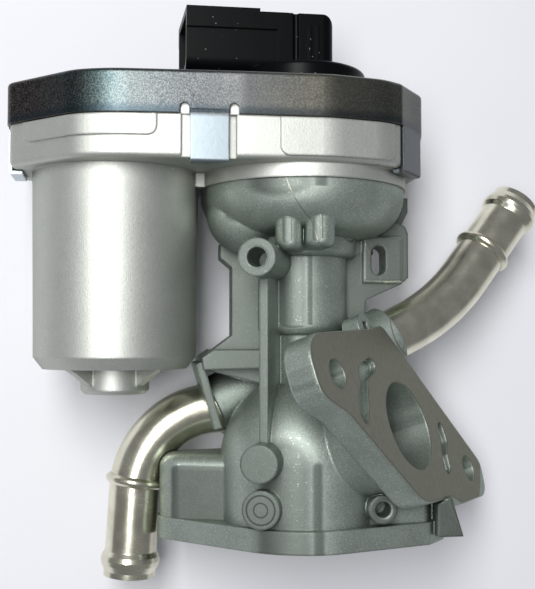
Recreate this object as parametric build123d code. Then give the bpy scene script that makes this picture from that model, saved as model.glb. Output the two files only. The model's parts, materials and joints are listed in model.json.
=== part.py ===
from build123d import *
import math
import os

# Motor driven exhaust gas recirculation valve, in millimetres.
# Frame: origin where the valve stem crosses the base face, +Z up the stem, motor can towards -X.

# ---- driving sizes -------------------------------------------------------------------------
# heights up the stem
BASE_THICK = 6.5            # mounting plate under the valve chamber
NECK_Z = 61.5               # bottom of the full-width neck
COLLAR_Z = 85.0             # collar under the spring bowl
BOWL_BOTTOM = 90.0
JOINT_Z = 105.6             # split between valve body and actuator housing
TRAY_Z = 109.7              # underside of the gear tray
FLOOR_Z = 113.5             # gear chamber floor
SKIRT_Z = 121.9             # lower edge of the cover skirt
RIM_Z = 131.6               # top of the tray wall
COVER_Z = 134.0             # top of the cover

# valve body
CHAMBER_R = 25.0
NECK_R = 13.6
COLLAR_R = 16.6
BOWL_R = 31.3
LEAD_IN = 0.4               # chamfer at the mouths of the screw bosses
BOWL_BORE_R = 27.0
LOBE_X, LOBE_Y = 34.5, 8.0  # base bolts, at plus and minus this point
LOBE_R = 9.4
BASE_BOLT_R = 3.4
INLET_R = 17.3
SEAT_R = 17.0
PULL_ANGLE = 21.0           # casting pull direction, from -Y towards -X

# outlet flange: centre of the machined face, heading and rise of its axis
OUTLET_C = (27.5, -22.1, 35.4)
OUTLET_HEADING = -39.0
OUTLET_RISE = 19.0
OUTLET_R = 13.1
OUTLET_THICK = 8.5
OUTLET_DEPTH = 16.0         # machined length of the outlet bore
OUTLET_BOLT = (34.7, -16.75)
OUTLET_BOLT_R = 4.1

# coolant pipes
PIPE_R = 8.0
PIPE_WALL = 1.25
BEAD_R = 9.4
LEFT_BEND, RIGHT_BEND = 26.5, 62.0

# actuator
MOTOR_X = -57.0
IDLER_X = -31.5
CAN_R = 24.8
CAN_FOOT_R = 24.1
CAN_BOTTOM = 51.5
MOTOR_BORE_R = 21.6
RING_R = 31.9
SHEET = 1.0                 # cover steel
WALL = 2.9                  # tray wall

# gear train and cam
OUT_MODULE, OUT_TEETH, PINION_TEETH = 1.0, 51, 12
IN_MODULE, IN_TEETH = 0.75, 56
STROKE = 7.5                # valve lift for a quarter turn of the output gear
LEAD = STROKE / (math.pi / 2)
SLEEVE_R = 11.0             # outside of the cam sleeve
GUIDE_R = 8.0               # outside of the fixed guide sleeve
HEAD_R = 5.5                # crosshead
PIN_R = 2.0
PIN_Z = 105.0               # cross pin with the valve shut
STEM_TOP = PIN_Z + PIN_R + 0.7
STEM_R = 3.0

# clearances
RUN = 0.05                  # radial, shaft in bearing
SLOT = 0.08                 # pin in cam slot
EASY = 0.15                 # parts that only locate each other

out_face = Plane(
    origin=OUTLET_C,
    x_dir=(math.sin(math.radians(-OUTLET_HEADING)), math.cos(math.radians(OUTLET_HEADING)), 0),
    z_dir=(
        math.cos(math.radians(OUTLET_RISE)) * math.cos(math.radians(OUTLET_HEADING)),
        math.cos(math.radians(OUTLET_RISE)) * math.sin(math.radians(OUTLET_HEADING)),
        math.sin(math.radians(OUTLET_RISE)),
    ),
)
pull = Vector(-math.sin(math.radians(PULL_ANGLE)), -math.cos(math.radians(PULL_ANGLE)), 0)
across = Vector(math.cos(math.radians(PULL_ANGLE)), -math.sin(math.radians(PULL_ANGLE)), 0)

# half outlines, front side first, closed by mirroring about the X axis
cover_half = [(-88, -12), (-68.5, -29.6), (-59, -32.8), (-22, -34.4), (3, -34.6),
              (19, -31), (24.6, -27.2), (34.2, -14.5), (36.5, -6)]
cover_radii = [4, 16, 38, 60, 25, 16, 3, 6, 8]


# ---- helpers -------------------------------------------------------------------------------
def drum(radius, z0, z1, x=0.0, y=0.0):
    return Pos(x, y, (z0 + z1) / 2) * Cylinder(radius, z1 - z0)


def tube(outer, inner, z0, z1, x=0.0, y=0.0):
    return drum(outer, z0, z1, x, y) - drum(inner, z0, z1, x, y)


def block(x0, x1, y0, y1, z0, z1):
    return Pos((x0 + x1) / 2, (y0 + y1) / 2, (z0 + z1) / 2) * Box(x1 - x0, y1 - y0, z1 - z0)


def turned(points, x=0.0, y=0.0):
    return Pos(x, y, 0) * revolve(Plane.XZ * make_face(Polyline(*points, close=True)), Axis.Z)


def slab(face, z0, z1):
    return Pos(0, 0, z0) * extrude(face, z1 - z0)


def upright(points, y0, y1):
    """Profile drawn in X and Z, from y0 back to y1."""
    return Pos(0, y1, 0) * extrude(Plane.XZ * make_face(Polyline(*points, close=True)), y1 - y0)


SEAM_TURN = 20.0            # turns the seams of round faces clear of the main planes


def rod(start, end, radius, end_radius=None):
    axis = Vector(*end) - Vector(*start)
    plane = Plane(origin=start, z_dir=axis) * Rot(0, 0, SEAM_TURN)
    if end_radius is None:
        return plane * (Pos(0, 0, axis.length / 2) * Cylinder(radius, axis.length))
    return plane * (Pos(0, 0, axis.length / 2) * Cone(radius, end_radius, axis.length))


def pulled(along, lateral, z):
    """Point given along and across the casting pull direction."""
    return tuple(pull * along + across * lateral + Vector(0, 0, z))


def bent_rod(points, bend, radius):
    path = FilletPolyline(*points, radius=bend)
    start = Vector(*points[0])
    return sweep(Plane(origin=start, z_dir=Vector(*points[1]) - start) * Circle(radius), path=path)


def circles_hull(circles):
    edges = []
    for x, y, radius in circles:
        edges += (Pos(x, y) * Circle(radius)).edges()
    return make_hull(edges)


def mirrored_outline(half, radii, inset=0.0):
    points = half + [(x, -y) for x, y in reversed(half)]
    face = make_face(FilletPolyline(*points, radius=radii + radii[::-1], close=True))
    return offset(face, -inset) if inset else face


def gear_face(module, teeth, first=0.0, span=360.0, addendum=0.9):
    """Involute gear; teeth lie every pitch from the angle first, and only within span."""
    pitch_r = module * teeth / 2
    base_r = pitch_r * math.cos(math.radians(20))
    root_r = pitch_r - 1.2 * module
    tip_r = pitch_r + addendum * module
    inv20 = math.tan(math.radians(20)) - math.radians(20)
    half_pitch_tooth = 0.44 * math.pi / teeth

    def half_angle(radius):
        lean = math.acos(min(1.0, base_r / max(radius, base_r)))
        return half_pitch_tooth + inv20 - (math.tan(lean) - lean)

    radii = [root_r, max(base_r, root_r + 0.2 * module), pitch_r, tip_r]
    points = []
    count = int(round(teeth * span / 360))
    for i in range(count):
        centre = math.radians(first) + 2 * math.pi * i / teeth
        flank = [(r, centre - half_angle(r)) for r in radii]
        flank += [(r, centre + half_angle(r)) for r in reversed(radii)]
        points += [(r * math.cos(a), r * math.sin(a)) for r, a in flank]
    if count < teeth:
        start = math.radians(first) + 2 * math.pi * (count - 0.5) / teeth
        end = math.radians(first) + 2 * math.pi * (teeth - 0.5) / teeth
        steps = 14
        for i in range(steps + 1):
            a = start + (end - start) * i / steps
            points.append((root_r * math.cos(a), root_r * math.sin(a)))
    return make_face(Polyline(*points, close=True))


def helical_cut(inner, outer, pin_r, z_low, z_high, middle_deg, middle_z):
    """Solid swept by a radial sector that climbs with the cam lead; two opposite sectors."""
    half = math.hypot(pin_r / GUIDE_R, pin_r / LEAD) + SLOT / LEAD
    length = z_high - z_low
    cut = []
    for side in (0, 180):
        centre = math.radians(middle_deg + side) + (z_low - middle_z) / LEAD
        a, b = centre - half, centre + half
        mid = (a + b) / 2
        points = [(inner * math.cos(a), inner * math.sin(a)), (outer * math.cos(a), outer * math.sin(a))]
        far = (outer * math.cos(mid), outer * math.sin(mid))
        corner = (outer * math.cos(b), outer * math.sin(b))
        back = (inner * math.cos(b), inner * math.sin(b))
        near = (inner * math.cos(mid), inner * math.sin(mid))
        wire = [Line(points[0], points[1]), ThreePointArc(points[1], far, corner),
                Line(corner, back), ThreePointArc(back, near, points[0])]
        face = Pos(0, 0, z_low) * make_face(wire)
        cut.append(Solid.extrude_linear_with_rotation(
            face.face(), center=(0, 0, z_low), normal=(0, 0, length),
            angle=math.degrees(length / LEAD)))
    return cut


# ---- valve body ----------------------------------------------------------------------------
gallery = [(-26.5, 15.0, 38.4), (-12.0, 18.0, 45.5), (8.0, 16.0, 51.5), (18.5, 0.3, 56.0)]
PAD_LEAN = 16.0             # lean of the pipe pad
pad_dir = Vector(-math.cos(math.radians(PAD_LEAN)), 0, -math.sin(math.radians(PAD_LEAN)))
right_pipe_corner = Vector(47.2, 6.0, 70.5)
right_pipe_start = Vector(20.5, 0.0, 57.2)
right_pipe_end = Vector(75.5, 14.6, 106.0)
left_pipe_start = Vector(-21.0, 15.0, 38.9)
left_pipe_corner = Vector(-49.4, 15.0, 36.4)
left_dir = (left_pipe_corner - left_pipe_start).normalized()
left_pipe_end = Vector(-52.4, 15.0, -13.3)
left_line = [tuple(left_pipe_start), tuple(left_pipe_corner), tuple(left_pipe_end)]
right_line = [tuple(right_pipe_start), tuple(right_pipe_corner), tuple(right_pipe_end)]


def base_outline():
    return circles_hull([(0, 0, 27.0), (-LOBE_X, LOBE_Y, LOBE_R), (33.5, -14.6, 2.8),
                         (LOBE_X + 1.5, -LOBE_Y + 2, 6.5), (LOBE_X, -LOBE_Y + 9, 5.0)])


def chamber_shell():
    """Bulged lower chamber with the narrower column above it, as one turned form."""
    profile = [
        Line((0, 0), (CHAMBER_R, 0)),
        Line((CHAMBER_R, 0), (CHAMBER_R, 24)),
        TangentArc((CHAMBER_R, 24), (11.0, 47.0), tangent=(0, 1)),
        Line((11.0, 47.0), (11.0, NECK_Z + 3)),
        Line((11.0, NECK_Z + 3), (0, NECK_Z + 3)),
        Line((0, NECK_Z + 3), (0, 0)),
    ]
    return revolve(Plane.XZ * make_face(profile), Axis.Z)


def neck():
    shaft = fillet(drum(NECK_R, NECK_Z, COLLAR_Z + 2).edges().group_by(Axis.Z)[0], 3.0)
    collar = fillet(drum(COLLAR_R, COLLAR_Z, 94).edges().group_by(Axis.Z)[0], 2.4)
    profile = [
        Line((0, BOWL_BOTTOM), (14, BOWL_BOTTOM)),
        Line((14, BOWL_BOTTOM), (21.5, BOWL_BOTTOM + 1.7)),
        ThreePointArc((21.5, BOWL_BOTTOM + 1.7), (28.6, 96.2), (BOWL_R, 103.0)),
        Line((BOWL_R, 103.0), (BOWL_R, JOINT_Z)),
        Line((BOWL_R, JOINT_Z), (0, JOINT_Z)),
        Line((0, JOINT_Z), (0, BOWL_BOTTOM)),
    ]
    bowl = revolve(Plane.XZ * make_face(profile), Axis.Z)
    # the bowl is deeper on the motor side
    bowl += Pos(-18.0, -5.0, 98.0) * Sphere(12.0) & block(-40, 0, -30, 20, 80, 100)
    return shaft + collar + bowl


# screws between body and actuator, and the dowel beside the front one
JOINT_PCR = 23.4
joint_screw_angles = [-109.0, 11.0, 131.0]
dowel_angle = -87.5


def on_circle(radius, angle):
    return radius * math.cos(math.radians(angle)), radius * math.sin(math.radians(angle))


def column(angle, radius, foot):
    """Screw column under the bowl, joined to the collar by a rounded web."""
    x, y = on_circle(JOINT_PCR, angle)
    post = slab(circles_hull([(x, y, radius), (0.45 * x, 0.45 * y, radius)]), foot, JOINT_Z)
    return fillet(post.edges().group_by(Axis.Z)[0], 2.2)


def outlet_plate():
    outline = FilletPolyline(
        (-46.5, 28.0), (-7.0, 29.6), (3.5, 31.0), (47.2, -16.2), (43.5, -26.4), (20.5, -26.2),
        (14.0, -23.2), (-6.0, -22.6), (-35.0, 5.5), (-47.0, 11.5),
        radius=[9, 3, 4, 5, 6, 4, 4, 14, 6, 7], close=True)
    plate = extrude(out_face * make_face(outline), -OUTLET_THICK)
    rims = [e for e in plate.edges() if abs(e.tangent_at(0.5).dot(out_face.z_dir)) < 0.1]
    plate = fillet(rims, 0.8)
    ear = out_face * (Pos(-1.6, 30.6, -OUTLET_THICK + 2.8) * Cylinder(4.7, 5.6))
    plate += ear
    return plate


# lightening pockets between the bolt holes and the bore: centre and radius along each
outlet_pockets = [
    [(-12.5, 18.6, 2.2), (-19.0, 16.6, 2.5), (-21.2, 12.6, 2.0), (-24.8, 8.2, 2.7), (-26.6, 4.6, 2.1)],
    [(22.8, -2.6, 1.8), (22.2, -6.2, 2.2), (19.4, -10.0, 1.8), (18.0, -14.2, 2.4)],
]
POCKET_DEPTH = 1.8


def outlet_cuts():
    """Bore, bolt holes, locating hole and the two cast grooves of the outlet flange."""
    h, v = OUTLET_BOLT
    cut = [out_face * (Pos(0, 0, 1 - OUTLET_DEPTH / 2) * Cylinder(OUTLET_R, OUTLET_DEPTH + 2))]
    for side in (-1, 1):
        cut.append(out_face * (Pos(side * h, side * v, -6) * Cylinder(OUTLET_BOLT_R, 26)))
    cut.append(out_face * (Pos(-1.6, 31.0, -4) * Box(3.0, 3.6, 5)))
    for pockets in outlet_pockets:
        for near, far in zip(pockets[:-1], pockets[1:]):
            cut.append(extrude(out_face * circles_hull([near, far]), -POCKET_DEPTH))
    return cut


def body_base():
    """Base plate, its two bolt lumps and the foot beside the right one."""
    base = slab(base_outline(), 0, BASE_THICK)
    left_lump = slab(circles_hull([(-LOBE_X, LOBE_Y, LOBE_R - 0.6), (-4, 6, 18)]), 0, 25.5)
    right_lump = slab(circles_hull([(33.0, -14.2, 2.4), (LOBE_X, -LOBE_Y + 2, 6.0),
                                    (LOBE_X - 1, 2, 4.0), (6, 0, 20)]), 0, 19)
    base += fillet(left_lump.edges().group_by(Axis.Z)[-1], 4.5)
    base += fillet(right_lump.edges().group_by(Axis.Z)[-1], 2.0)
    base += upright([(37.0, 2.5), (44.6, 2.5), (41.0, 14.2), (37.0, 12.0)], -19, -9)
    return base


def outlet_branch():
    """Inclined neck widening into the outlet flange."""
    reach = out_face * Pos(0, 0, -OUTLET_THICK + 1)
    return rod((9.0, -7.2, 27.5), tuple(reach.position), 16.5, 17.8) + outlet_plate()


def gallery_run(radius):
    """Coolant gallery round the back of the column, as a chain of rods and balls."""
    run = rod(gallery[0], gallery[1], radius)
    for a, b in zip(gallery[1:-1], gallery[2:]):
        run += Pos(*a) * Sphere(radius) + rod(a, b, radius)
    return run


def gallery_outside():
    left_end = Vector(*gallery[0])
    pad = Plane(origin=left_end + pad_dir * 2.0, z_dir=pad_dir, x_dir=(0, 1, 0))
    outside = gallery_run(9.6) + pad * (Pos(-2.0, -5.0, -1.2) * Box(25, 21, 2.4))
    right_collar = right_pipe_start + (right_pipe_corner - right_pipe_start) * 0.26
    outside += rod(tuple(right_pipe_start), tuple(right_collar), 10.2)
    # web from the bowl down to the left pipe pad
    outside += upright([(-10, 90), (-25, 90), (-25, 85.4), (-21.4, 82.4), (-21.4, 61.4),
                        (-27.4, 57.0), (-31.0, 54.6), (-30.4, 51.0), (-10, 46)], 3, 12)
    outside += upright([(-31.0, 54.6), (-27.4, 57.0), (-10, 57.0), (-10, 51.5), (-30.4, 51.0)], -3, 27)
    return outside


def right_bracket():
    plate = upright([(6, 66.5), (19.9, 66.5), (20.3, 72.5), (31.5, 77.4), (33.9, 79.5), (33.9, 93.4),
                     (33.0, 95.6), (30.5, 97.0), (27.6, 96.8), (22, 93), (6, 93)], 0, 6.5)
    pad = upright([(19.0, 77.9), (31.6, 77.9), (31.6, 92.4), (19.0, 92.4)], -2.0, 0)
    plate += chamfer(pad.edges().group_by(Axis.Y)[0], 0.6)
    plate += upright([(27, 93), (31.5, 93), (35.6, 101), (35.6, JOINT_Z), (25, JOINT_Z)], 6, 14)
    return plate


# the two tapped bosses: mouth, direction it faces, core radius and depth of the hole
support_mouth = pulled(34.5, -6.1, 83.0)
lower_mouth = (19.2, -24.0, 11.7)
tapped_holes = [(support_mouth, pull, 2.75, 14.5), (lower_mouth, Vector(0, -1, 0), 2.3, 7.5)]


def casting_bosses():
    """Bosses, rib and discs, all facing the pull direction."""
    bosses = rod(pulled(8, -6.1, 83.0), support_mouth, 5.4)
    rib = Plane(origin=pulled(0, -6.1, 0), x_dir=pull, z_dir=-across)
    rib_face = make_face(Polyline((6, 28), (25.9, 28), (25.9, 80), (6, 80), close=True))
    bosses += rib * extrude(rib_face, 1.3, both=True)
    bosses += rod(pulled(15, -6.1, 25.6), pulled(31.8, -6.1, 25.6), 5.4)
    bosses += rod(pulled(15, -6.5, 12.3), pulled(27.9, -6.5, 12.3), 5.5)
    bosses += rod(tuple(Vector(*lower_mouth) + Vector(0, 10, 0)), lower_mouth, 4.1)
    return bosses


def screw_columns():
    """Columns that show as bumps under the bowl."""
    columns = column(dowel_angle, 4.4, COLLAR_Z + 1.4)
    for angle in joint_screw_angles:
        columns += column(angle, 3.9, COLLAR_Z + 0.8)
    return columns


def chamber_hollow():
    """Inlet, seat pocket, gas chamber and the stepped bore for the stem's guides."""
    hollow = drum(INLET_R, 0, 8.0) + drum(SEAT_R, 8.0, 16.5) + drum(14.5, 16, 18.2)
    hollow += turned([(0, 18), (16.5, 18), (19, 20.5), (19, 31), (16.8, 36.5), (12, 41), (0, 43)])
    hollow += drum(STEM_R + 3.0, 42, 84) + drum(GUIDE_R, 84, 91) + drum(SLEEVE_R + 1.2, 90.6, 97)
    return hollow


def bowl_hollow():
    hollow = turned([(0, 94.5), (21.5, 94.5), (25.6, 97.5), (BOWL_BORE_R, 101.5), (BOWL_BORE_R, 106),
                     (0, 106)])
    for angle in joint_screw_angles + [dowel_angle]:
        x, y = on_circle(JOINT_PCR, angle)
        hollow -= drum(4.0, 90, 107, x, y)
    return hollow


def outlet_passage():
    end = out_face * Pos(0, 0, 0.5 - OUTLET_DEPTH)
    start = out_face * Pos(0, 0, -29.3)
    return rod(tuple(start.position), tuple(end.position), OUTLET_R + 0.9) & block(-40, 80, -80, 40, 18, 90)


def pipe_sockets():
    """Sockets for both coolant pipes, with relief round the tubes outside them."""
    left = rod(tuple(left_pipe_start), tuple(left_pipe_start + left_dir * 6), PIPE_R)
    relief = bent_rod(left_line, LEFT_BEND, PIPE_R + 0.4)
    left += relief & block(-80, left_pipe_start.X - 4.5, 0, 40, -30, 60)
    right_dir = (right_pipe_corner - right_pipe_start).normalized()
    step = right_pipe_start + right_dir * 8
    right = rod(tuple(right_pipe_start), tuple(step), PIPE_R)
    right += rod(tuple(step), tuple(right_pipe_start + right_dir * 28), PIPE_R + 0.3)
    return [left, right]


def fixing_holes():
    holes = [drum(BASE_BOLT_R, 0, 14, side * LOBE_X, -side * LOBE_Y) for side in (-1, 1)]
    for mouth, facing, radius, depth in tapped_holes:
        face = Vector(*mouth)
        holes.append(rod(tuple(face + facing), tuple(face - facing * depth), radius))
        outside = tuple(face + facing * 0.5)
        holes.append(rod(outside, tuple(face - facing * LEAD_IN), radius + LEAD_IN + 0.5, radius))
    slot = SlotCenterToCenter(4.6, 4.6, rotation=90)
    holes.append(Pos(23.9, 8, 84.8) * extrude(Plane.XZ * slot, 12))
    for angle in joint_screw_angles:
        x, y = on_circle(JOINT_PCR, angle)
        holes.append(drum(2.05, 92.5, 106, x, y))
    x, y = on_circle(JOINT_PCR, dowel_angle)
    holes.append(drum(2.0, 99, 106, x, y))
    return holes


def valve_body():
    body = body_base() + chamber_shell() + neck() + outlet_branch() + gallery_outside()
    body += right_bracket() + casting_bosses() + screw_columns()
    body -= chamber_hollow()
    body -= bowl_hollow()
    body -= tube(30.3, 28.7, JOINT_Z - 1.1, JOINT_Z + 1)
    body -= outlet_passage()
    for cut in outlet_cuts() + [gallery_run(5.4)] + pipe_sockets() + fixing_holes():
        body -= cut
    return body


def valve_head():
    disc = turned([(0, 8.4), (14.4, 8.4), (14.9, 8.9), (14.9, 9.85), (12.4, 12.35), (6.0, 12.8),
                   (4.6, 14.2), (4.6, 17.0), (0, 17.0)])
    return disc - drum(STEM_R, 9.8, 18)


def valve_stem():
    low, high = 9.8, STEM_TOP
    return turned([(0, low), (STEM_R, low), (STEM_R, high - 0.5), (STEM_R - 0.5, high), (0, high)])


def valve_seat():
    return turned([(15.05, 10.0), (SEAT_R, 10.0), (SEAT_R, 16.5), (12.9, 16.5), (12.55, 16.1),
                   (12.55, 12.5)])


def crosshead():
    head = drum(HEAD_R, PIN_Z - 4, PIN_Z + 4)
    head = chamfer(head.edges().group_by(Axis.Z)[-1], 0.6)
    head -= drum(STEM_R, PIN_Z - 5, STEM_TOP)
    head -= rod((-8, 0, PIN_Z), (8, 0, PIN_Z), PIN_R)
    return head


def cross_pin():
    pin = rod((-SLEEVE_R + 0.2, 0, PIN_Z), (SLEEVE_R - 0.2, 0, PIN_Z), PIN_R)
    return pin


def stem_with_pin_hole():
    return valve_stem() - rod((-8, 0, PIN_Z), (8, 0, PIN_Z), PIN_R)


def guide_sleeve():
    sleeve = tube(GUIDE_R, HEAD_R + RUN, 84.0, PIN_Z + 4.5)
    sleeve += tube(GUIDE_R, STEM_R + 1.0, 84.0, 86.0)
    low = PIN_Z - STROKE - PIN_R - 0.3
    sleeve -= block(-20, 20, -PIN_R - SLOT, PIN_R + SLOT, low, PIN_Z + 10)
    return sleeve


def thrust_washer():
    return tube(SLEEVE_R + 0.6, GUIDE_R + EASY, 90.6, 91.5)


def stem_bushing():
    bush = tube(STEM_R + 3.0, STEM_R + RUN, 46.0, 79.0)
    return chamfer(bush.edges().group_by(Axis.Z)[0], 0.4)


def stem_seal():
    r = STEM_R + 3.0
    return turned([(r, 79.0), (r, 83.0), (r - 0.9, 83.0), (r - 1.0, 80.4), (STEM_R + 0.9, 80.2),
                   (STEM_R + 0.06, 82.4), (STEM_R + 0.06, 79.6), (STEM_R + 0.8, 79.0)])


def seal_cap():
    return tube(STEM_R + 3.0, STEM_R + 0.3, 83.0, 84.0)


# ---- gear train ----------------------------------------------------------------------------
PINION_Z = (115.6, 123.6)
WHEEL_Z = (124.2, 128.2)
SECTOR_Z = (115.8, 121.6)
HUB_TOP = 129.4


def output_gear():
    """Toothed sector on top of the cam sleeve, in one piece."""
    low = 91.6
    step = 360 / OUT_TEETH
    gear = slab(gear_face(OUT_MODULE, OUT_TEETH, first=180 - step * 16, span=step * 20), *SECTOR_Z)
    for angle in (-105, -55, -5, 45):
        x, y = on_circle(17.2, angle)
        gear -= drum(3.6, 110, 125, x, y)
    gear += drum(SLEEVE_R, low, SECTOR_Z[1])
    gear += drum(8.6, SECTOR_Z[1], HUB_TOP)
    gear -= drum(GUIDE_R + RUN, low - 1, PIN_Z + 6.2)
    gear -= drum(6.5, HUB_TOP - 3.0, HUB_TOP + 1)
    cut = helical_cut(GUIDE_R - 1.0, SLEEVE_R + 1.5, PIN_R, PIN_Z - STROKE - PIN_R - 0.15,
                      PIN_Z + PIN_R + 0.15, 0.0, PIN_Z)
    for c in cut:
        gear -= c
    return gear


def sensor_magnet():
    return drum(6.5, HUB_TOP - 3.0, HUB_TOP)


def idler_gear():
    wheel = slab(gear_face(IN_MODULE, IN_TEETH, addendum=0.8), *WHEEL_Z)
    recess = tube(17.6, 8.6, WHEEL_Z[1] - 1.2, WHEEL_Z[1] + 1, 0, 0)
    wheel -= recess
    wheel += slab(gear_face(OUT_MODULE, PINION_TEETH, first=15), PINION_Z[0], WHEEL_Z[0] + 0.6)
    wheel -= drum(2.5 + RUN, 110, 130)
    return Pos(IDLER_X, 0, 0) * wheel


def idler_pin():
    pin = drum(2.5, 107.0, 131.0, IDLER_X, 0)
    pin = chamfer(pin.edges().group_by(Axis.Z)[-1], 0.4)
    return pin


def idler_clip():
    clip = tube(4.0, 2.5, 128.5, 129.2, IDLER_X, 0)
    return clip - block(IDLER_X - 1.3, IDLER_X + 1.3, 0, 6, 128, 130)


def motor_pinion():
    pinion = slab(gear_face(IN_MODULE, PINION_TEETH, first=15, addendum=0.85), 123.6, 129.0)
    return Pos(MOTOR_X, 0, 0) * (pinion - drum(1.5, 120, 130))


def gear_bearing():
    return tube(SLEEVE_R + 2.0, SLEEVE_R + RUN, TRAY_Z - 0.6, FLOOR_Z - 0.1)


def return_spring():
    radius, wire, low, turns = 16.2, 0.9, 96.6, 4
    pitch = 2.3
    helix = Helix(pitch=pitch, height=pitch * turns, radius=radius)
    start = helix @ 0
    section = Plane(origin=start, z_dir=helix % 0) * RegularPolygon(wire * 1.05, 8)
    coil = Pos(0, 0, low) * sweep(section, path=helix, is_frenet=True)
    lower = rod((radius, 0.6, low + 0.05), (radius + 4.0, 0.6, low + 0.05), wire * 0.9)
    top = low + pitch * turns - 0.05
    upper = rod((radius + 0.2, -0.6, top), (SLEEVE_R + 0.3, -0.6, top), wire * 0.9)
    return coil + lower + upper


# ---- motor ---------------------------------------------------------------------------------
def motor_shell():
    shell = tube(MOTOR_BORE_R - 0.1, MOTOR_BORE_R - 1.3, 57.0, FLOOR_Z - 0.1)
    shell += tube(MOTOR_BORE_R - 0.1, 4.5, 55.8, 57.0)
    shell += tube(5.5, 4.5, 51.0, 57.0) + tube(5.5, 2.2, 50.0, 51.0)
    return Pos(MOTOR_X, 0, 0) * shell


def motor_magnets():
    ring = tube(MOTOR_BORE_R - 1.32, 17.4, 64.0, 96.0)
    halves = [ring & Rot(0, 0, turn) * block(-14.5, 14.5, 6, 25, 60, 100) for turn in (0, 180)]
    return Compound([(Pos(MOTOR_X, 0, 0) * h).solid() for h in halves])


def armature_core():
    core = drum(16.6, 67.0, 93.0) - drum(1.5, 60, 100)
    for i in range(5):
        x, y = on_circle(10.8, 72 * i)
        core -= drum(4.3, 60, 100, x, y)
        core -= Rot(0, 0, 72 * i) * block(10, 20, -1.0, 1.0, 60, 100)
    return Pos(MOTOR_X, 0, 0) * core


def armature_windings():
    coils = tube(15.0, 6.6, 93.1, 97.4) + tube(15.0, 6.6, 62.6, 66.9)
    for i in range(5):
        x, y = on_circle(10.8, 72 * i)
        coils += drum(4.15, 62.8, 97.2, x, y)
        notch = Rot(0, 0, 72 * i) * block(13.4, 20, -1.6, 1.6, 60, 100)
        coils -= notch
    return Pos(MOTOR_X, 0, 0) * coils


def commutator():
    bars = drum(5.0, 98.2, 106.5) - drum(1.5, 90, 110)
    for i in range(5):
        bars -= Rot(0, 0, 72 * i + 36) * block(4.0, 6.0, -0.3, 0.3, 98, 107)
    return Pos(MOTOR_X, 0, 0) * bars


def motor_shaft():
    shaft = drum(1.5, 50.6, 129.6, MOTOR_X, 0)
    return chamfer(shaft.edges().group_by(Axis.Z)[-1], 0.3)


def rear_bushing():
    return tube(4.5, 1.5 + RUN, 51.2, 56.8, MOTOR_X, 0)


def front_bushing():
    return tube(3.6, 1.5 + RUN, 110.6, 115.8, MOTOR_X, 0)


EAR_Y = 25.6
PLATE = 1.5


def motor_plate():
    face = circles_hull([(0, 0, 22.6), (0, EAR_Y, 3.2), (0, -EAR_Y, 3.2)])
    plate = slab(face, FLOOR_Z, FLOOR_Z + PLATE)
    plate -= drum(3.6, 110, 117)
    for side in (-1, 1):
        plate -= drum(1.75, 110, 117, 0, side * EAR_Y)
    return Pos(MOTOR_X, 0, 0) * plate


def brush_card():
    card = tube(MOTOR_BORE_R - 1.35, 6.4, 107.4, 109.0)
    for side in (-1, 1):
        y0, y1 = sorted((side * 6.2, side * 17.0))
        card += block(-3.6, 3.6, y0, y1, 100.6, 107.6)
        card -= block(-2.2, 2.2, min(side * 5, side * 18), max(side * 5, side * 18), 102.0, 106.4)
    return Pos(MOTOR_X, 0, 0) * card


def brushes():
    pair = []
    for side in (-1, 1):
        y0, y1 = sorted((side * 4.2, side * 13.4))
        pair.append(block(-2.15, 2.15, y0, y1, 102.05, 106.35) - drum(5.08, 100, 108))
    return Compound([(Pos(MOTOR_X, 0, 0) * b).solid() for b in pair])


def brush_springs():
    pair = []
    for side in (-1, 1):
        y0, y1 = sorted((side * 13.45, side * 16.9))
        strip = block(-1.8, 1.8, y0, y1, 102.1, 106.3)
        strip -= block(-2, 2, min(side * 13.9, side * 16.4), max(side * 13.9, side * 16.4), 102.6, 107)
        pair.append(strip)
    return Compound([(Pos(MOTOR_X, 0, 0) * b).solid() for b in pair])


def motor_screws():
    screws = []
    for side in (-1, 1):
        y = side * EAR_Y
        top = FLOOR_Z + PLATE
        screw = drum(1.6, TRAY_Z + 0.6, top, MOTOR_X, y) + drum(2.8, top, top + 1.8, MOTOR_X, y)
        screw -= block(MOTOR_X - 3, MOTOR_X + 3, y - 0.4, y + 0.4, top + 1.0, top + 2)
        screws.append(screw.solid())
    return Compound(screws)


# ---- actuator housing ----------------------------------------------------------------------
tab_x, tab_width = -31.4, 10.6


def facet_plane(side):
    """X across the wide right tab, Z outwards; side -1 is the front one."""
    (x0, y0), (x1, y1) = cover_half[6:8]
    along = Vector(x1 - x0, y1 - y0, 0).normalized()
    outward = Vector(along.Y, side * along.X, 0)
    middle = Vector((x0 + x1) / 2, side * abs(y0 + y1) / 2, 0)
    return Plane(origin=middle, x_dir=(-side * along.X, along.Y, 0), z_dir=outward)


end_plane = Plane(origin=(-88.0, 0, 0), x_dir=(0, -1, 0), z_dir=(-1, 0, 0))


def can_profile():
    top = TRAY_Z + 1
    return [(0, CAN_BOTTOM), (CAN_R - 3.4, CAN_BOTTOM), (CAN_FOOT_R, 55.0), (CAN_R, top), (0, top)]


def side_panel(side, x0, x1, z0):
    """Raised panel on the tray's long side, reaching up to the cover's edge."""
    y0, y1 = sorted((side * 9.0, side * 36.0))
    panel = block(x0, x1, y0, y1, z0, SKIRT_Z + 3)
    panel = fillet(panel.edges().filter_by(Axis.Y).group_by(Axis.Z)[0], 2.6)
    return panel & slab(mirrored_outline(cover_half, cover_radii, 0.15), TRAY_Z, SKIRT_Z - 0.4)


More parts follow.
